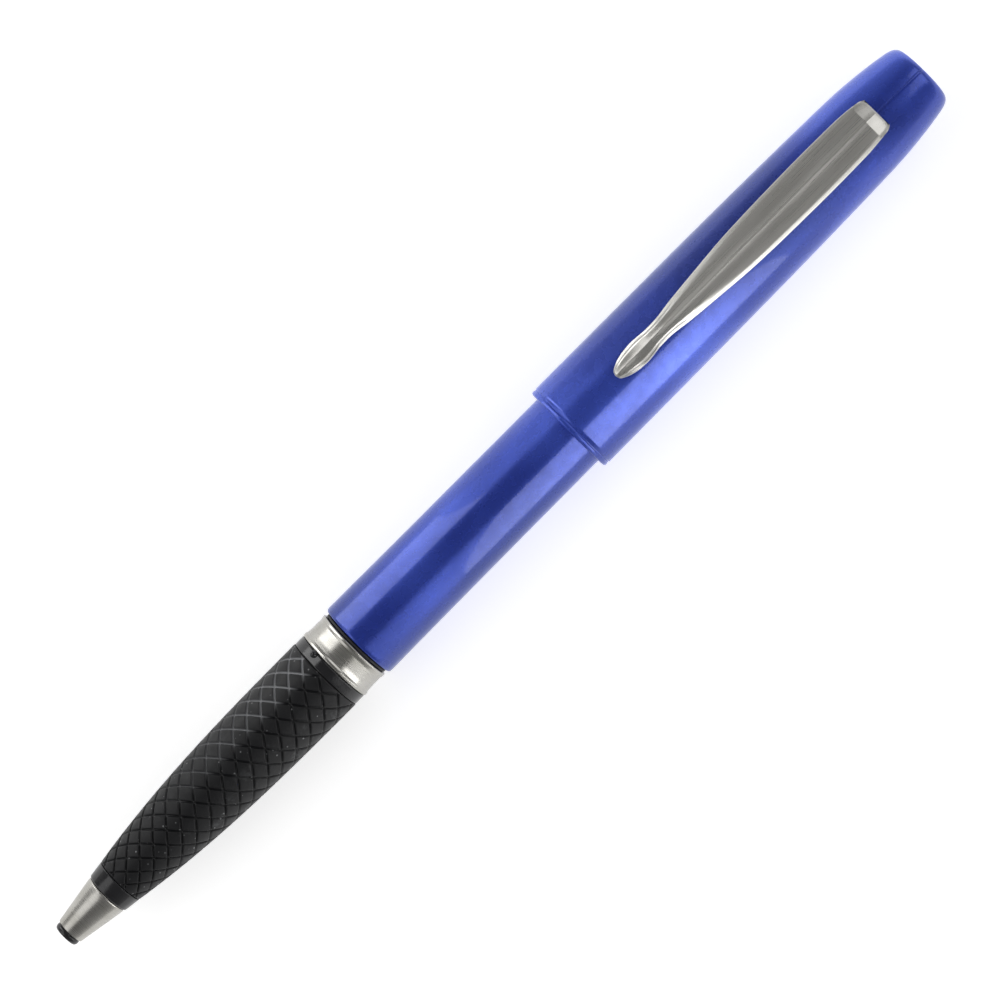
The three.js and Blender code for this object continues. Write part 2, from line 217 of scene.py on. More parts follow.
class Shader:
    """A Principled material and short names for the nodes it needs."""

    def __init__(self, name, **constants):
        self.material = bpy.data.materials.new(name)
        self.material.use_nodes = True
        self.tree = self.material.node_tree
        self.surface = self.tree.nodes["Principled BSDF"]
        for socket, value in constants.items():
            self.surface.inputs[socket.replace("_", " ")].default_value = value

    def node(self, kind, **inputs):
        made = self.tree.nodes.new(kind)
        for socket, value in inputs.items():
            made.inputs[socket.replace("_", " ")].default_value = value
        return made

    def link(self, source, target):
        self.tree.links.new(source, target)

    def stretched(self, x=1.0, y=1.0, z=1.0):
        """Object coordinates in metres, scaled, so that texture stays with the piece."""
        coordinates = self.tree.nodes.new("ShaderNodeTexCoord")
        mapping = self.node("ShaderNodeMapping", Scale=(x, y, z))
        self.link(coordinates.outputs["Object"], mapping.inputs["Vector"])
        return mapping.outputs["Vector"]

    def noise(self, where, scale, detail=2.0, roughness=0.5):
        made = self.node("ShaderNodeTexNoise", Scale=scale, Detail=detail, Roughness=roughness)
        self.link(where, made.inputs["Vector"])
        return made.outputs["Fac"]

    def cells(self, where, scale, output="Distance"):
        made = self.node("ShaderNodeTexVoronoi", Scale=scale)
        self.link(where, made.inputs["Vector"])
        return made.outputs[output]

    def ramp(self, value, stops):
        """A colour or grey ramp; each stop is (position, colour or grey)."""
        made = self.tree.nodes.new("ShaderNodeValToRGB")
        elements = made.color_ramp.elements
        while len(elements) < len(stops):
            elements.new(0.5)
        for element, (position, colour) in zip(elements, stops):
            element.position = position
            element.color = as_colour(colour)
        self.link(value, made.inputs["Fac"])
        return made.outputs["Color"]

    def mixed(self, share, first, second, blend="MIX"):
        """share of second over first; each may be a socket, a colour or a number."""
        made = self.tree.nodes.new("ShaderNodeMix")
        made.data_type = "RGBA"
        made.blend_type = blend
        share_socket, first_socket, second_socket = (made.inputs[i] for i in COLOUR_MIX_INPUTS)
        for socket, value in ((share_socket, share), (first_socket, first), (second_socket, second)):
            if isinstance(value, bpy.types.NodeSocket):
                self.link(value, socket)
            elif socket == share_socket:
                socket.default_value = value
            else:
                socket.default_value = as_colour(value)
        return made.outputs[COLOUR_MIX_OUTPUT]

    def maths(self, operation, first, second):
        """Two numbers or sockets combined."""
        made = self.tree.nodes.new("ShaderNodeMath")
        made.operation = operation
        for socket, value in zip(made.inputs, (first, second)):
            if isinstance(value, bpy.types.NodeSocket):
                self.link(value, socket)
            else:
                socket.default_value = value
        return made.outputs[0]

    def bump(self, height, distance, strength):
        """Relief of that depth, in metres."""
        made = self.node("ShaderNodeBump", Strength=strength, Distance=distance)
        self.link(height, made.inputs["Height"])
        self.link(made.outputs["Normal"], self.surface.inputs["Normal"])

    def colour(self, source):
        self.link(source, self.surface.inputs["Base Color"])

    def roughness(self, source):
        self.link(source, self.surface.inputs["Roughness"])


def dust(shader, where, bare, size):
    """A mask of sparse specks: 1 on a speck. There are none where a noise is below bare."""
    speck = shader.ramp(shader.cells(where, size), [(0.0, 1.0), (0.10, 1.0), (0.17, 0.0)])
    noise = shader.noise(where, size * 0.35, 1.0)
    patch = shader.ramp(noise, [(0.0, 0.0), (bare, 0.0), (bare + 0.08, 1.0)])
    return shader.maths("MULTIPLY", speck, patch)


def pearl_blue():
    """Blue plastic with mica: marbled light and dark clouds, tiny flakes and a clear gloss."""
    s = Shader(
        "pearl blue plastic", Metallic=0.4, IOR=1.9, Specular_Tint=(0.54, 0.65, 0.95, 1.0),
        Coat_Weight=0.4, Coat_Roughness=0.03, Coat_IOR=1.45,
    )
    cloud = s.noise(s.stretched(30, 90, 90), 1.0, 3.0, 0.45)
    dark, middle, light = (0.008, 0.025, 0.25), (0.015, 0.040, 0.37), (0.048, 0.095, 0.60)
    deep = s.ramp(cloud, [(0.38, dark), (0.50, middle), (0.62, light)])
    where = s.stretched()
    flake = s.ramp(s.cells(where, 5200, "Color"), [(0.0, 0.90), (0.75, 1.0), (1.0, 1.18)])
    s.colour(s.mixed(1.0, deep, flake, "MULTIPLY"))
    s.roughness(s.ramp(s.noise(where, 700, 3.0), [(0.3, 0.24), (0.7, 0.31)]))
    s.bump(s.noise(where, 300, 2.0), 0.000006, 0.2)
    return s.material


def turned_steel():
    """Polished steel turned on a lathe: fine rings round the axis, and faint stains."""
    s = Shader("turned polished steel", Metallic=1.0)
    rings = s.noise(s.stretched(9000, 40, 40), 1.0, 3.0, 0.65)
    stain = s.noise(s.stretched(500, 420, 420), 1.0, 3.0)
    s.colour(s.ramp(stain, [(0.3, (0.38, 0.37, 0.34)), (0.7, (0.47, 0.46, 0.435))]))
    s.roughness(s.ramp(rings, [(0.3, 0.22), (0.7, 0.32)]))
    s.bump(rings, 0.0000008, 0.6)
    return s.material


def brushed_clip_steel():
    """Stamped steel brushed along the clip, with a few darker scratches and faint stains."""
    s = Shader("brushed clip steel", Metallic=1.0)
    grain = s.noise(s.stretched(60, 16000, 16000), 1.0, 3.0, 0.6)
    streak = s.noise(s.stretched(70, 2600, 2600), 1.0, 2.0, 0.5)
    scratch = s.ramp(streak, [(0.68, 0.0), (0.74, 1.0)])
    blotch = s.noise(s.stretched(90, 500, 500), 1.0, 3.0)
    stain = s.ramp(blotch, [(0.3, (0.54, 0.53, 0.50)), (0.7, (0.63, 0.62, 0.59))])
    s.colour(s.mixed(s.maths("MULTIPLY", scratch, 0.3), stain, (0.30, 0.29, 0.28)))
    s.roughness(s.ramp(grain, [(0.3, 0.26), (0.7, 0.33)]))
    s.bump(grain, 0.0000006, 1.0)
    return s.material


GROOVE_ATTRIBUTE = "groove"


def grip_rubber():
    """Matte rubber with moulding grain and scuffs. The grooves are smoother, and on the +Y side of
    the rear half they carry a painted highlight: pale colour standing in for the nose side softbox's
    reflection in the groove walls. Most scuffs are on the -Y side."""
    s = Shader("grip rubber", Specular_IOR_Level=0.32)
    where = s.stretched()
    cut = s.node("ShaderNodeAttribute")
    cut.attribute_name = GROOVE_ATTRIBUTE
    groove_share = cut.outputs["Fac"]
    split = s.tree.nodes.new("ShaderNodeSeparateXYZ")
    s.link(s.stretched(100, 100, 100), split.inputs[0])
    # painted highlight: a mask of the grooves on the +Y side of the rear half, where the nose side
    # softbox would reflect
    highlight_side = s.ramp(s.maths("ADD", split.outputs["Y"], 0.2), [(0.26, 0.0), (0.36, 1.0)])
    highlight_rear = s.ramp(s.maths("MULTIPLY", split.outputs["X"], -0.1), [(0.28, 1.0), (0.52, 0.0)])
    scuffed_side = s.ramp(s.maths("ADD", split.outputs["Y"], 0.5), [(0.05, 1.0), (0.42, 0.0)])
    painted_highlight = s.maths("MULTIPLY", groove_share, s.maths("MULTIPLY", highlight_side, highlight_rear))
    scuff = s.ramp(s.noise(where, 420, 5.0, 0.7), [(0.56, 0.0), (0.66, 1.0)])
    strength = s.maths("ADD", s.maths("MULTIPLY", scuffed_side, 0.34), 0.03)
    share = s.maths("MULTIPLY", scuff, strength)
    plateau = s.mixed(share, (0.0040, 0.0042, 0.0052), (0.12, 0.125, 0.13))
    # the painted highlight: those grooves are painted pale grey in place of the softbox's reflection
    base = s.mixed(painted_highlight, plateau, (0.34, 0.345, 0.36))
    specks = s.maths("MULTIPLY", dust(s, where, 0.50, 1300), 0.7)
    s.colour(s.mixed(specks, base, (0.24, 0.245, 0.25)))
    grain = s.ramp(s.noise(where, 800, 3.0), [(0.3, 0.42), (0.7, 0.56)])
    s.roughness(s.mixed(groove_share, grain, 0.30))
    s.bump(s.noise(where, 6500, 2.0), 0.00001, 0.5)
    return s.material


def gloss_black():
    """Moulded glossy black plastic with faint scuffs and specks of dust."""
    s = Shader("gloss black plastic", Specular_IOR_Level=0.5)
    where = s.stretched()
    mottle = s.noise(where, 400, 2.0)
    tone = s.ramp(mottle, [(0.3, (0.008, 0.008, 0.009)), (0.7, (0.015, 0.015, 0.017))])
    specks = s.maths("MULTIPLY", dust(s, where, 0.6, 1200), 0.5)
    s.colour(s.mixed(specks, tone, (0.2, 0.2, 0.21)))
    s.roughness(s.ramp(s.noise(s.stretched(1400, 300, 300), 1.0, 3.0), [(0.3, 0.13), (0.75, 0.26)]))
    s.bump(s.noise(where, 900, 2.0), 0.00001, 0.3)
    return s.material


def moulded(name, low, high, rough=0.42, **constants):
    """A plain moulded plastic with slight mottling and a fine moulded skin."""
    s = Shader(name, **constants)
    where = s.stretched()
    s.colour(s.ramp(s.noise(where, 260, 3.0), [(0.3, low), (0.7, high)]))
    s.roughness(s.ramp(s.noise(where, 900, 2.0), [(0.3, rough - 0.07), (0.7, rough + 0.07)]))
    s.bump(s.noise(where, 2500, 2.0), 0.00001, 0.5)
    return s.material


def turned_metal(name, low, high, rough=0.25, fine=4200):
    """A turned or drawn metal with fine rings."""
    s = Shader(name, Metallic=1.0)
    rings = s.noise(s.stretched(fine, 60, 60), 1.0, 3.0, 0.6)
    s.colour(s.ramp(s.noise(s.stretched(400, 400, 400), 1.0, 3.0), [(0.3, low), (0.7, high)]))
    s.roughness(s.ramp(rings, [(0.3, rough - 0.07), (0.7, rough + 0.08)]))
    s.bump(rings, 0.000006, 0.6)
    return s.material


PEARL = pearl_blue()
STEEL = turned_steel()
CLIP_STEEL = brushed_clip_steel()
RUBBER = grip_rubber()
BLACK = gloss_black()
SEAL = moulded("seal rubber", (0.009, 0.009, 0.009), (0.02, 0.02, 0.02), 0.6)
BRASS = turned_metal("turned brass", (0.50, 0.35, 0.13), (0.62, 0.46, 0.2))
TIP_METAL = turned_metal("tip steel", (0.50, 0.49, 0.47), (0.62, 0.61, 0.59), 0.2)
WIRE = turned_metal("spring wire", (0.38, 0.38, 0.38), (0.52, 0.52, 0.52), 0.28, 900)
WHITE = moulded("white plastic", (0.66, 0.66, 0.62), (0.78, 0.78, 0.74))
GREY = moulded("dark grey plastic", (0.07, 0.075, 0.08), (0.105, 0.11, 0.12))
TUBE = moulded(
    "translucent tube", (0.52, 0.58, 0.62), (0.62, 0.68, 0.72), 0.2, Transmission_Weight=0.35,
)
INK = moulded("ink", (0.004, 0.006, 0.035), (0.006, 0.01, 0.055), 0.12)

# ---------- nose ----------

TURNED_SIDES = 160
SMALL_SIDES = 96
BUSH_HOLE = 1.28
BUSH_BODY = 1.46
BUSH_REAR = 3.2


def nose_bush():
    outline = [
        (0, 1.30, 0.05), (0, BUSH_BODY, 0.1), (0.14, 1.57, 0.08), (0.32, 1.62, 0.08),
        (0.54, 1.62, 0.06), (0.74, 1.54, 0.05), (0.76, BUSH_BODY, 0.02),
        (BUSH_REAR, BUSH_BODY, 0.05), (BUSH_REAR, BUSH_HOLE, 0.05), (0.35, BUSH_HOLE, 0.1),
    ]
    points, faces = lathe(filleted(outline), even_angles(TURNED_SIDES))
    finish_mesh("nose_bush_skin", points, faces, BLACK, "section", ["nose_bush"])


CONE_HOLE = 1.53
CONE_BORE = 2.15
CONE_STEP = 3.4


def nose_cone():
    outline = [
        (CONE_FRONT, CONE_HOLE, 0.03), (CONE_FRONT, 1.72, 0.03), (0.83, 1.77, 0.04),
        (6.3, 2.67, 0.2), (6.8, 2.72, 0.1), (CONE_REAR, 2.67, 0.05), (CONE_REAR, CONE_BORE, 0.05),
        (CONE_STEP, CONE_BORE, 0.05), (CONE_STEP, CONE_HOLE, 0.05),
    ]
    points, faces = lathe(filleted(outline), even_angles(TURNED_SIDES))
    finish_mesh("nose_cone_skin", points, faces, STEEL, "section", ["nose_cone"])


# ---------- section core: collars, snap bumps and thread ----------

WAIST_FRONT, WAIST_REAR = 2.66, 4.05
GRIP_CURVE = 2.85
THREAD_PITCH = 1.0
THREAD_CREST = 3.97
THREAD_DEPTH = 0.28
THREAD_START, THREAD_FULL = 48.1, 48.7
THREAD_ROW = 0.09
CORE_FRONT, CORE_NOSE_BORE, CORE_SPIGOT = 3.6, 1.47, 2.05
CORE_BORE, CORE_REAR_BORE, SHOULDER = 2.25, 3.15, 4.2
COLLAR_RADIUS, COLLAR_END = 4.93, 44.35
NUB_RADIUS = 0.46
NUB_STATION = 44.02
NUB_ANGLES = [27, 207]


def tapered(station, front, rear):
    """The grip's own taper, from one radius at its front to another at its rear."""
    share = min(max((station - GRIP_FRONT) / (GRIP_REAR - GRIP_FRONT), 0), 1)
    return front + (rear - front) * (1 - (1 - share) ** GRIP_CURVE)


def thread_shape(station, angle):
    """0 at a thread's root and 1 at its crest, for a rounded V thread."""
    phase = (station / THREAD_PITCH + angle / (2 * math.pi)) % 1.0
    return smoothstep(0.12, 0.88, 1 - abs(2 * phase - 1))


def core_carve(station, radius, angle):
    """Cuts the thread into the spigot, fading out at both of its ends."""
    if radius < THREAD_CREST - 0.4 or not THREAD_START < station < CORE_REAR - 0.2:
        return radius
    run_in = smoothstep(THREAD_START, THREAD_FULL, station)
    run_out = 1 - smoothstep(CORE_REAR - 0.9, CORE_REAR - 0.25, station)
    return radius - THREAD_DEPTH * run_in * run_out * (1 - thread_shape(station, angle))


DOME_SKIRT = 0.35


def dome(station, radius, angle, size, rings=10, turns=28):
    """A round bump centred on the surface at that station, radius and angle. It is open below,
    where a skirt goes under the surface."""
    out = np.array([0, math.sin(angle), math.cos(angle)])
    along = np.array([1.0, 0, 0])
    side = np.cross(out, along)
    centre = np.array([station, 0, 0]) + out * radius
    points, faces = [], []
    for i in range(rings + 1):
        tilt = (-DOME_SKIRT + (1 + DOME_SKIRT) * i / rings) * math.pi / 2
        for j in range(turns):
            turn = 2 * math.pi * j / turns
            flat = size * math.cos(tilt)
            sideways = flat * (along * math.cos(turn) + side * math.sin(turn))
            points.append(at(*(centre + out * size * math.sin(tilt) + sideways)))
    for i in range(rings):
        for j in range(turns):
            k = (j + 1) % turns
            faces.append((i * turns + j, i * turns + k, (i + 1) * turns + k, (i + 1) * turns + j))
    return points, faces


def section_core():
    collar_front, collar_rear = CONE_REAR + SEAM, GRIP_REAR + SEAM
    waist_stations = np.linspace(GRIP_FRONT - SEAM, collar_rear, 20)
    waist = [(x, tapered(x, WAIST_FRONT, WAIST_REAR), 0) for x in waist_stations]
    outline = filleted([
        (CORE_FRONT, CORE_NOSE_BORE, 0.02), (CORE_FRONT, CORE_SPIGOT, 0.05),
        (collar_front, CORE_SPIGOT, 0.02), (collar_front, 2.76, 0.06), (7.14, 2.87, 0.1),
        (8, 2.99, 0.3), (GRIP_FRONT - SEAM, GRIP_FRONT_RADIUS, 0.08), *waist,
        (collar_rear, 4.90, 0.04), (43.1, COLLAR_RADIUS, 0.06), (44.25, COLLAR_RADIUS, 0.06),
        (COLLAR_END, 4.86, 0.04), (COLLAR_END, SHOULDER, 0.02), (RING_REAR, SHOULDER, 0.05),
        (RING_REAR, THREAD_CREST, 0.02), (CORE_REAR - 0.3, THREAD_CREST, 0.1),
        (CORE_REAR, THREAD_CREST - 0.3, 0.1), (CORE_REAR, CORE_REAR_BORE, 0.05),
        (19.4, CORE_REAR_BORE, 0), (18.4, CORE_BORE, 0), (7.6, CORE_BORE, 0),
        (7.6, CORE_NOSE_BORE, 0),
    ])
    dense = []
    for point, following in zip(outline, outline[1:] + [None]):
        dense.append(point)
        if following is not None and 47 < point[0] < CORE_REAR and following[0] - point[0] > 1:
            parts = int((following[0] - point[0]) / THREAD_ROW)
            dense.extend(point + (following - point) * k / parts for k in range(1, parts))
    body = lathe(dense, even_angles(TURNED_SIDES), core_carve)
    bumps = [dome(NUB_STATION, COLLAR_RADIUS, math.radians(a), NUB_RADIUS) for a in NUB_ANGLES]
    points, faces = joined(body, *bumps)
    finish_mesh(
        "section_core_skin", points, faces, BLACK, "section", ["section_core"],
    )


# ---------- refill spring ----------

SPRING_TURNS = 9
SPRING_STEPS = 28
WIRE_RADIUS = 0.19
WIRE_SIDES = 10
END_TURN_SHARE = 0.024


def spring_place(turn):
    """The share of the spring's length that the wire has reached after so many turns. The first
    and last turns lie close."""
    middle = (turn - 1) / (SPRING_TURNS - 2)
    if turn < 1:
        return END_TURN_SHARE * turn
    if turn > SPRING_TURNS - 1:
        return 1 - END_TURN_SHARE * (SPRING_TURNS - turn)
    return END_TURN_SHARE + (1 - 2 * END_TURN_SHARE) * middle


def refill_spring():
    """The coil spring, built at one length."""
    front, rear = node_span("refill_spring")
    coil = node_radius("refill_spring") - WIRE_RADIUS
    points, faces = [], []
    count = SPRING_TURNS * SPRING_STEPS + 1
    for i in range(count):
        turn = i / SPRING_STEPS
        angle = 2 * math.pi * turn
        station = front + WIRE_RADIUS + (rear - front - 2 * WIRE_RADIUS) * spring_place(turn)
        for j in range(WIRE_SIDES):
            around = 2 * math.pi * j / WIRE_SIDES
            radius = coil + WIRE_RADIUS * math.cos(around)
            along = station + WIRE_RADIUS * math.sin(around)
            points.append(at(along, radius * math.cos(angle), radius * math.sin(angle)))
    for i in range(count - 1):
        for j in range(WIRE_SIDES):
            k = (j + 1) % WIRE_SIDES
            ring, following = i * WIRE_SIDES, (i + 1) * WIRE_SIDES
            faces.append((ring + j, ring + k, following + k, following + j))
    faces.append(tuple(reversed(range(WIRE_SIDES))))
    faces.append(tuple(range((count - 1) * WIRE_SIDES, count * WIRE_SIDES)))
    coils = finish_mesh(
        "spring_coils", points, faces, WIRE, "refill", ["refill_spring"],
    )
    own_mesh(coils)


# ---------- grip with diamond grooves ----------

DIAMONDS_AROUND = 10
DIAMOND_LENGTH = 2.274
DIAMOND_NODE = 42.65
DIAMOND_GRID = 24
GROOVE_DEPTH = 0.24
GRIP_FRONT_RADIUS, GRIP_REAR_RADIUS = 3.12, 4.97
GRIP_EDGE = 0.14
GRIP_EDGE_ROWS = [0, 0.01, 0.03, 0.07]
GRIP_FIT = 0.12
GROOVE_FLOOR, GROOVE_BRINK = 0.012, 0.098
GROOVE_END_FADE = 0.35


def groove(distance):
    """Share of the full depth at a distance, in diamonds, from a groove's middle line."""
    return 1 - smoothstep(GROOVE_FLOOR, GROOVE_BRINK, abs(distance))


def to_nearest(value):
    """The distance to the nearest whole number."""
    return abs(value - round(value))


def grip_rows():
    """Stations of the grip's rows: the diamond grid's own lines, and a few for the rounded ends.
    Also the first grid line's number."""
    step = DIAMOND_LENGTH / DIAMOND_GRID
    first = math.ceil((GRIP_FRONT + GRIP_EDGE - DIAMOND_NODE) / step)
    last = math.floor((GRIP_REAR - GRIP_EDGE - DIAMOND_NODE) / step)
    inner = [DIAMOND_NODE + k * step for k in range(first, last + 1)]
    front = [GRIP_FRONT + e for e in GRIP_EDGE_ROWS]
    rear = [GRIP_REAR - e for e in reversed(GRIP_EDGE_ROWS)]
    return front + inner + rear, first


def groove_share(station, u):
    """How deep the grooves cut at a station, u diamonds round from the top: 0 on a plateau and
    1 in a groove."""
    end = min(station - GRIP_FRONT, GRIP_REAR - station)
    v = (station - DIAMOND_NODE) / DIAMOND_LENGTH
    deepest = max(groove(to_nearest(u + v)), groove(to_nearest(u - v)))
    return deepest * smoothstep(0.0, GROOVE_END_FADE, end)


def grip_radius(station, u):
    """The grip's radius, with its rounded ends and its grooves."""
    end = min(station - GRIP_FRONT, GRIP_REAR - station)
    radius = tapered(station, GRIP_FRONT_RADIUS, GRIP_REAR_RADIUS)
    if end < GRIP_EDGE:
        radius -= GRIP_EDGE - math.sqrt(max(GRIP_EDGE**2 - (GRIP_EDGE - end) ** 2, 0))
    return radius - GROOVE_DEPTH * groove_share(station, u)


def grip_quad(corners, u, v):
    """One cell of the grip, split into triangles along the groove that crosses it."""
    a, b, c, d = corners
    if to_nearest(u + v) < to_nearest(u - v):
        return [(a, b, d), (b, c, d)]
    return [(a, b, c), (a, c, d)]


def grip_sleeve():
    stations, first = grip_rows()
    turns = DIAMONDS_AROUND * DIAMOND_GRID
    bore_stations = np.linspace(GRIP_REAR, GRIP_FRONT, 9)
    bore = [(x, tapered(x, WAIST_FRONT, WAIST_REAR) + GRIP_FIT) for x in bore_stations]
    rows = len(stations) + len(bore)
    points, shares = [], []
    for j in range(turns):
        angle = 2 * math.pi * j / turns
        shares.extend([groove_share(x, j / DIAMOND_GRID) for x in stations] + [0.0] * len(bore))
        ring = [(x, grip_radius(x, j / DIAMOND_GRID)) for x in stations] + bore
        points.extend(at(x, r * math.sin(angle), r * math.cos(angle)) for x, r in ring)
    faces = []
    edge_rows = len(GRIP_EDGE_ROWS)
    for j in range(turns):
        k = (j + 1) % turns
        for i in range(rows):
            n = (i + 1) % rows
            corners = (j * rows + i, j * rows + n, k * rows + n, k * rows + i)
            if edge_rows <= i < len(stations) - edge_rows - 1:
                u = (j + 0.5) / DIAMOND_GRID
                v = (first + i - edge_rows + 0.5) / DIAMOND_GRID
                faces.extend(grip_quad(corners, u, v))
            else:
                faces.append(corners)
    grip = finish_mesh(
        "grip_skin", points, faces, RUBBER, "section", ["grip_sleeve"],
    )
    cut = grip.data.attributes.new(GROOVE_ATTRIBUTE, "FLOAT", "POINT")
    cut.data.foreach_set("value", shares)


# ---------- ring, seal and barrel ----------

RING_BORE = 4.3
SEAL_FRONT, SEAL_REAR = 47.88, 48.22
SEAL_BORE, SEAL_RADIUS = 4.06, 4.62
BARREL_MOUTH_BORE, BARREL_BORE = 4.55, 4.25
MOUTH_BORE_END = 56.27
STEM_HOLE = 2.35
END_WALL_FRONT = 111.2


def trim_ring():
    outline = [
        (RING_FRONT, RING_BORE, 0.02), (RING_FRONT, 4.92, 0.05), (44.5, 5.0, 0.05),
        (44.78, 5.0, 0.05), (44.98, 4.88, 0.06), (45.6, 4.83, 0.15), (47.2, 4.81, 0.1),
        (47.42, 4.9, 0.08), (47.72, 4.9, 0.05), (RING_REAR, 4.82, 0.03),
        (RING_REAR, RING_BORE, 0.02),
    ]
    points, faces = lathe(filleted(outline), even_angles(TURNED_SIDES))
    finish_mesh(
        "trim_ring_skin", points, faces, STEEL, "section_ring", ["trim_ring"],
    )


def seal_ring():
    outline = [
        (SEAL_FRONT, SEAL_BORE, 0.02), (SEAL_FRONT, SEAL_RADIUS, 0.12),
        (SEAL_REAR, SEAL_RADIUS, 0.12), (SEAL_REAR, SEAL_BORE, 0.02),
    ]
    points, faces = lathe(filleted(outline, 6), even_angles(SMALL_SIDES))
    finish_mesh(
        "seal_ring_skin", points, faces, SEAL, "section_ring", ["seal_ring"],
    )


def barrel_tube():
    outline = [
        (BARREL_FRONT, BARREL_MOUTH_BORE, 0.03), (BARREL_FRONT, 4.88, 0.08), (48.4, 5.06, 0.12),
        (48.65, BARREL_RADIUS, 0.2), (52, 5.11, 1), (58, 5.07, 2), (66, 5.04, 2), (83, 5.0, 3),
        (96, 4.94, 3), (108, 4.85, 1.5), (111.5, 4.72, 0.4), (BARREL_REAR, 4.4, 0.2),
        (BARREL_REAR, STEM_HOLE, 0.05), (END_WALL_FRONT, STEM_HOLE, 0.05),
        (END_WALL_FRONT, BARREL_BORE, 0.05), (MOUTH_BORE_END, BARREL_BORE, 0.02),
        (MOUTH_BORE_END, BARREL_MOUTH_BORE, 0.02),
    ]
    points, faces = lathe(filleted(outline), even_angles(TURNED_SIDES))
    finish_mesh("barrel_skin", points, faces, PEARL, "barrel", ["barrel_tube"])


NUT_BORE, NUT_RADIUS = 4.1, 4.48
NUT_THREAD_DEPTH = 0.22


def thread_bush():
    """The brass bush, with its thread cut between two plain ends."""
    front, rear = node_span("thread_bush")
    outline = [
        (front, NUT_BORE, 0.05), (front, NUT_RADIUS, 0.05), (rear, NUT_RADIUS, 0.05),
        (rear, NUT_BORE, 0.05),
    ]
    rounded = filleted(outline)
    thread = [np.array([x, NUT_BORE]) for x in np.arange(rear - 0.15, front + 0.15, -0.1)]

    def carve(station, radius, angle):
        inside = radius < NUT_BORE + 0.1 and front + 0.2 < station < rear - 0.2
        return radius + NUT_THREAD_DEPTH * thread_shape(station, angle) if inside else radius

    points, faces = lathe(rounded + thread, even_angles(SMALL_SIDES), carve)
    finish_mesh("thread_bush_skin", points, faces, BRASS, "barrel", ["thread_bush"])


EYELET_FLANGE = 3.4


def stem_eyelet():
    front, rear = node_span("stem_eyelet")
    outline = [
        (front, STEM_HOLE, 0.03), (front, EYELET_FLANGE, 0.05), (112.5, EYELET_FLANGE, 0.12),
        (rear, 3.1, 0.12), (rear, STEM_HOLE, 0.18),
    ]
    points, faces = lathe(filleted(outline, 6), even_angles(SMALL_SIDES))
    finish_mesh(
        "stem_eyelet_skin", points, faces, STEEL, "barrel", ["stem_eyelet"],
    )


# ---------- cap ----------

TOP_GROOVE_HALF = 0.2
TOP_GROOVE_CUT = 0.13
CAP_SIDES = 192
FINE_ANGLES = [0, 0.012, 0.022, 0.032, 0.042, 0.055, 0.075]
FINE_END = 0.09
CROWN_HOLLOW = 3.3
CROWN_SOLID = 139.9
LIP_GROOVE = 5.88
LIP_END = 84
CROWN_EDGE = 140.45
INNER_CROWN = 138.6
PINHOLE, PINHOLE_HOLD = 0.02, 0.06
CAP_OUTSIDE = [
    (83.6, CAP_RADIUS), (95, 5.95), (105, 5.91), (113, 5.85), (119, 5.77), (126, 5.64),
    (131.3, 5.49), (134.2, 5.27), (136.5, 5.01), (138.3, 4.74), (139.5, 4.5), (140.15, 4.22),
    (CROWN_EDGE, 3.92),
]
cap_profile = smooth_curve(CAP_OUTSIDE)


def cap_angles():
    """Even angles with extra ones at the thin groove that runs along the top."""
    coarse = [a for a in even_angles(CAP_SIDES) if FINE_END < a < 2 * math.pi - FINE_END]
    return FINE_ANGLES + coarse + [2 * math.pi - a for a in reversed(FINE_ANGLES[1:])]


def cap_carve(station, radius, angle):
    """Cuts the thin groove along the top, from the clip's rear end to the crown's flat."""
    if radius < CROWN_HOLLOW or station < CLIP_REAR - 0.4:
        return radius
    surface = cap_profile(station)
    if radius < surface - 0.4 and station < CROWN_SOLID:
        return radius
    if math.cos(angle) <= 0:
        return radius
    across = abs(math.sin(angle)) * radius
    cut = 1 - smoothstep(0.06, TOP_GROOVE_HALF + 0.03, across)
    return radius - TOP_GROOVE_CUT * cut * smoothstep(CLIP_REAR - 0.4, CLIP_REAR, station)


def cap_shell():
    lip = filleted([
        (117.3, 5.2, 0.02), (82.91, 5.25, 0.03), (CAP_RIM, 5.4, 0.06), (CAP_RIM, 5.75, 0.1),
        (82.9, 5.94, 0.14), (83.28, 5.95, 0.05), (83.36, LIP_GROOVE, 0.03),
        (83.48, LIP_GROOVE, 0.03), (83.58, CAP_RADIUS, 0),
    ])[1:]
    lip = [p for p in lip if p[0] < LIP_END]
    stations = [*np.arange(LIP_END, 133, 0.7), *np.arange(133.2, CROWN_EDGE, 0.15)]
    outside = [np.array([x, cap_profile(x)]) for x in stations]
    crown = filleted([
        (CROWN_EDGE, 3.92, 0), (140.56, 3.68, 0.1), (PEN_LENGTH, 3.45, 0.1),
        (PEN_LENGTH, PINHOLE_HOLD, 0.01),
    ])
    inside = [np.array(p, float) for p in [
        (PEN_LENGTH, PINHOLE), (INNER_CROWN, PINHOLE), (INNER_CROWN, 3.2), (135, 4.3),
        (131, 4.75), (128, 4.95), (117.3, 5.0), (117.3, 5.2),
    ]]
    outline = lip + outside + crown[:-1] + inside
    points, faces = lathe(outline, cap_angles(), cap_carve)
    finish_mesh("cap_skin", points, faces, PEARL, "cap", ["cap_shell"])


# ---------- pocket clip ----------

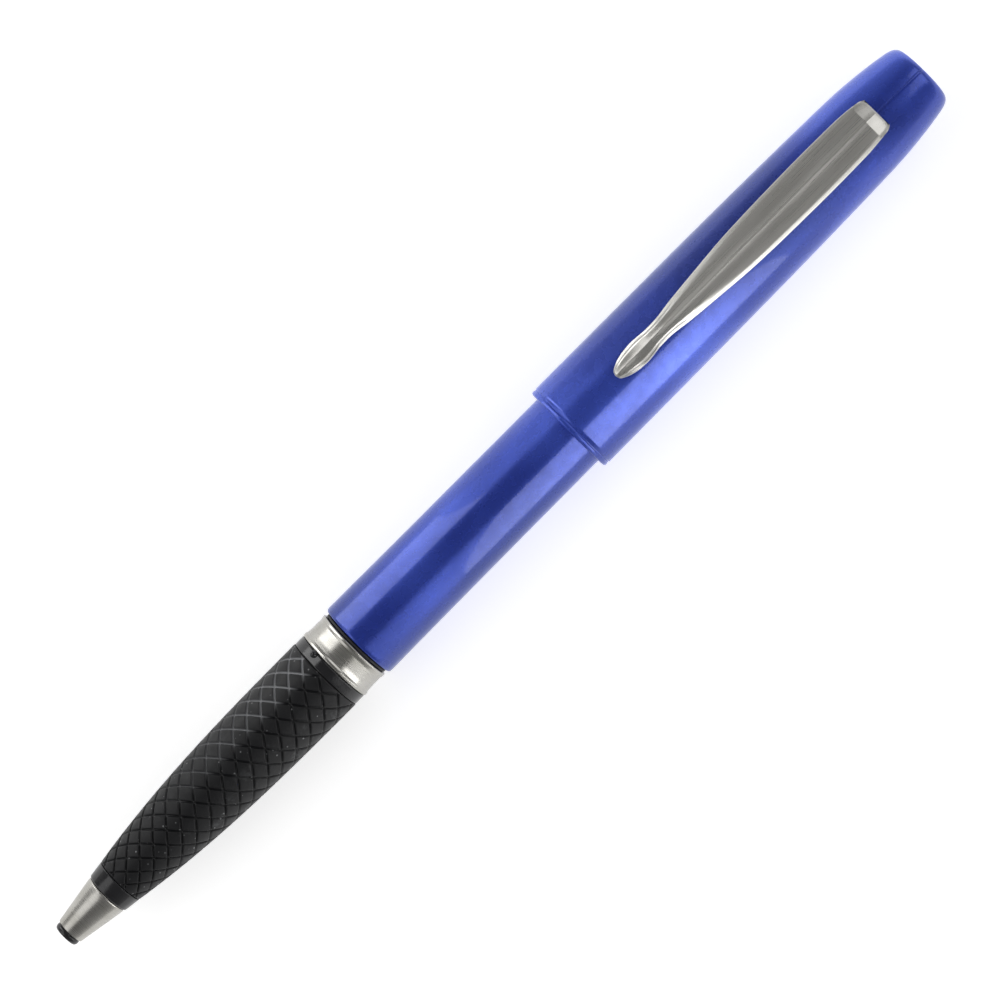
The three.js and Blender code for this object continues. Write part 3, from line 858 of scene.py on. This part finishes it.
CLIP_FALL = 0.46
LARGEST_BEVEL, BEVEL_SHARE = 0.3, 0.3
LARGEST_DROP, DROP_SHARE = 0.17, 0.3
ROOT_LOW, ROOT_HIGH = [129.9, -1.2, 3.9], [131.7, 1.2, 7.1]
clip_half_width = smooth_curve([
    (CLIP_FRONT, 0.05), (91.1, 0.45), (91.6, 0.82), (92.6, 1.22), (93.8, 1.44), (94.9, 1.5),
    (96.0, 1.4), (97.0, 1.30), (98.2, 1.29), (101.5, 1.66), (105.7, 2.05), (111.5, 2.5),
    (117.3, 2.67), (123.1, CLIP_HALF), (128.8, 2.68), (CLIP_REAR - 1.2, 2.42),
    (CLIP_REAR - 0.5, 2.3), (CLIP_REAR, 2.0),
])
clip_top = smooth_curve([
    (CLIP_FRONT, 6.42), (91.2, 6.66), (91.6, 6.78), (92.4, 6.88), (94, 6.95), (95.2, 7.15),
    (97, 7.6), (99, 7.75), (125, 7.75), (CLIP_REAR - 1.8, CLIP_TOP), (CLIP_REAR - 1.6, 7.69),
    (CLIP_REAR - 0.3, 7.14), (CLIP_REAR - 0.1, 7.0), (CLIP_REAR, 6.8),
])
clip_under = smooth_curve([
    (CLIP_FRONT, 6.38), (91.15, 6.16), (91.8, 6.06), (93.8, 6.05), (95, 6.3), (97, 6.75),
    (99.2, 6.95), (CLIP_REAR - 1.2, 6.95), (CLIP_REAR - 0.6, 6.6), (CLIP_REAR, 6.58),
])


def clip_section(station):
    """One cross-section of the clip as (y, z) pairs, from the ridge round the underside and
    back."""
    half = clip_half_width(station)
    top, under = clip_top(station), clip_under(station)
    fall = CLIP_FALL * half / CLIP_HALF
    bevel = min(LARGEST_BEVEL, half * BEVEL_SHARE)
    drop = min(LARGEST_DROP, (top - under) * DROP_SHARE)
    edge = top - fall
    ridge = [(0.0, top), (0.04, top - 0.003), (0.09, top - 0.022)]
    slope = [
        (0.3 * half, top - fall * 0.32), (0.55 * half, top - fall * 0.60),
        (0.8 * half, top - fall * 0.86), (half - bevel - 0.03, edge + 0.01),
    ]
    rounding = [
        (half - bevel, edge - 0.005), (half - bevel * 0.6, edge - drop * 0.25),
        (half - bevel * 0.2, edge - drop * 0.62), (half - 0.01, edge - drop),
        (half, edge - drop - 0.05),
    ]
    foot = [(half, under + 0.10), (half - 0.04, under + 0.03), (half - 0.12, under)]
    right = [(max(y, 0.0), max(z, under)) for y, z in ridge + slope + rounding + foot]
    left = [(-y, z) for y, z in reversed(right[1:])]
    return right + [(0.4 * half, under), (-0.4 * half, under)] + left


def pocket_clip():
    stations = [
        *np.linspace(CLIP_FRONT, 92.4, 22), *np.linspace(92.55, 99.5, 40),
        *np.linspace(100, CLIP_REAR - 2, 90), *np.linspace(CLIP_REAR - 1.85, CLIP_REAR, 26),
    ]
    points, faces = [], []
    size = 0
    for station in stations:
        ring = clip_section(station)
        size = len(ring)
        points.extend(at(station, y, z) for y, z in ring)
    for i in range(len(stations) - 1):
        for j in range(size):
            k = (j + 1) % size
            faces.append((i * size + j, (i + 1) * size + j, (i + 1) * size + k, i * size + k))
    last = (len(stations) - 1) * size
    faces.append(tuple(range(size)))
    faces.append(tuple(last + j for j in reversed(range(size))))
    points, faces = joined((points, faces), tab(ROOT_LOW, ROOT_HIGH))
    finish_mesh("clip_blade", points, faces, CLIP_STEEL, "clip", ["pocket_clip"])


def tab(low, high, inset=0.12):
    """A block with chamfered upright edges, for the clip's root."""
    outline = [
        (low[0] + inset, low[1]), (high[0] - inset, low[1]),
        (high[0], low[1] + inset), (high[0], high[1] - inset),
        (high[0] - inset, high[1]), (low[0] + inset, high[1]),
        (low[0], high[1] - inset), (low[0], low[1] + inset),
    ]
    count = len(outline)
    points = [at(x, y, z) for z in (low[2], high[2]) for x, y in outline]
    faces = [(i, (i + 1) % count, (i + 1) % count + count, i + count) for i in range(count)]
    return points, faces + [tuple(reversed(range(count))), tuple(range(count, 2 * count))]


# ---------- materials on the CAD nodes that stay ----------

def dress_cad_nodes():
    for node, material in {
        "guide_sleeve": WHITE, "plunger": GREY, "cam_rotor": WHITE, "refill_tip": TIP_METAL,
        "writing_ball": TIP_METAL, "refill_neck": BLACK, "refill_tube": TUBE, "ink_fill": INK,
        "refill_plug": WHITE, "cap_liner": GREY, "crown_plug": GREY,
    }.items():
        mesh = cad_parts[node].data
        mesh.materials.clear()
        mesh.materials.append(material)


# ---------- floor, light and camera ----------

FLOOR_SIZE = 3.0
FLOOR_GAP = 0.00005
FLOOR_GREYS = [(0.3, 0.90), (0.7, 0.92)]
STUDIO_GREYS = [(0.0, 0.60), (0.15, 0.48), (0.45, 0.30), (0.85, 0.19)]


def studio_floor():
    """A pale floor that glows slightly, so that it comes out near white."""
    s = Shader(
        "pale floor", Roughness=0.9, Specular_IOR_Level=0.1, Emission_Color=(1, 1, 1, 1),
        Emission_Strength=0.55,
    )
    s.colour(s.ramp(s.noise(s.stretched(), 14, 2.0), FLOOR_GREYS))
    half = FLOOR_SIZE / 2
    mesh = bpy.data.meshes.new("studio_floor")
    corners = [(-half, -half), (half, -half), (half, half), (-half, half)]
    mesh.from_pydata([(x, y, cap_low.z - FLOOR_GAP) for x, y in corners], [], [(0, 1, 2, 3)])
    mesh.materials.append(s.material)
    floor = bpy.data.objects.new("studio_floor", mesh)
    bpy.context.scene.collection.objects.link(floor)


def studio_world():
    """A pale studio: bright round the horizon, dim overhead."""
    world = bpy.data.worlds.new("studio")
    bpy.context.scene.world = world
    bpy.context.scene.view_settings.view_transform = "Standard"
    world.use_nodes = True
    tree = world.node_tree
    background = tree.nodes["Background"]
    coordinates = tree.nodes.new("ShaderNodeTexCoord")
    split = tree.nodes.new("ShaderNodeSeparateXYZ")
    ramp = tree.nodes.new("ShaderNodeValToRGB")
    tree.links.new(coordinates.outputs["Generated"], split.inputs[0])
    tree.links.new(split.outputs["Z"], ramp.inputs["Fac"])
    tree.links.new(ramp.outputs["Color"], background.inputs["Color"])
    elements = ramp.color_ramp.elements
    while len(elements) < len(STUDIO_GREYS):
        elements.new(0.5)
    for element, (height, grey) in zip(elements, STUDIO_GREYS):
        element.position = height
        element.color = as_colour(grey)
    background.inputs["Strength"].default_value = 1.0


def softbox(name, place, target, width, height, radiance):
    """A rectangular lamp with that radiance, aimed at a point and hidden from the camera."""
    light = bpy.data.lights.new(name, "AREA")
    light.shape = "RECTANGLE"
    light.size, light.size_y = width, height
    light.energy = radiance * math.pi * width * height
    lamp = bpy.data.objects.new(name, light)
    lamp.location = place
    lamp.rotation_euler = (Vector(target) - Vector(place)).to_track_quat("-Z", "Y").to_euler()
    lamp.visible_camera = False
    bpy.context.scene.collection.objects.link(lamp)


def studio_lights():
    softbox("cap side softbox", (0.0245, -0.43, 0.40), (0.0245, 0, 0.40), 0.103, 0.76, 4.3)
    softbox("nose side softbox", (-0.088, 0.43, 0.36), (-0.088, 0, 0.36), 0.13, 0.68, 3.4)
    softbox("crown end softbox", (0.55, -0.05, 0.50), (0, 0, 0), 0.6, 0.5, 1.15)
    softbox("nose end softbox", (-0.50, 0.35, 0.50), (0, 0, 0), 0.5, 0.6, 1.2)


CAMERA_DISTANCE = 0.485
CAMERA_LEAN = math.radians(4)
CAMERA_ROLL = math.radians(45.2)
CAMERA_STATION = 87.8
AIM_STATION, AIM_SIDE = 71.5, -0.15
LENS = 151.2
SENSOR_WIDTH = 36


def camera():
    """Looks down on the pen, leaning towards -Y, with the pen rolled to the photograph's slant."""
    data = bpy.data.cameras.new("camera")
    data.lens = LENS
    data.sensor_width = SENSOR_WIDTH
    data.clip_start = 0.01
    view = bpy.data.objects.new("camera", data)
    foot = Vector(at(CAMERA_STATION))
    place = foot + CAMERA_DISTANCE * Vector((0, -math.sin(CAMERA_LEAN), math.cos(CAMERA_LEAN)))
    forward = (Vector(at(AIM_STATION, AIM_SIDE)) - place).normalized()
    along = Vector((1, 0, 0))
    along = (along - along.dot(forward) * forward).normalized()
    across = (-forward).cross(along)
    right = math.cos(CAMERA_ROLL) * along - math.sin(CAMERA_ROLL) * across
    up = math.sin(CAMERA_ROLL) * along + math.cos(CAMERA_ROLL) * across
    view.matrix_world = axes_matrix(right, up, -forward, place)
    bpy.context.scene.collection.objects.link(view)
    bpy.context.scene.camera = view


def axes_matrix(x, y, z, place):
    """A placement from its three axes and its origin."""
    return Matrix((
        (x.x, y.x, z.x, place.x), (x.y, y.y, z.y, place.y), (x.z, y.z, z.z, place.z), (0, 0, 0, 1),
    ))


camera()
studio_floor()
studio_world()
studio_lights()
nose_bush()
nose_cone()
section_core()
refill_spring()
grip_sleeve()
trim_ring()
seal_ring()
barrel_tube()
thread_bush()
stem_eyelet()
cap_shell()
pocket_clip()
dress_cad_nodes()
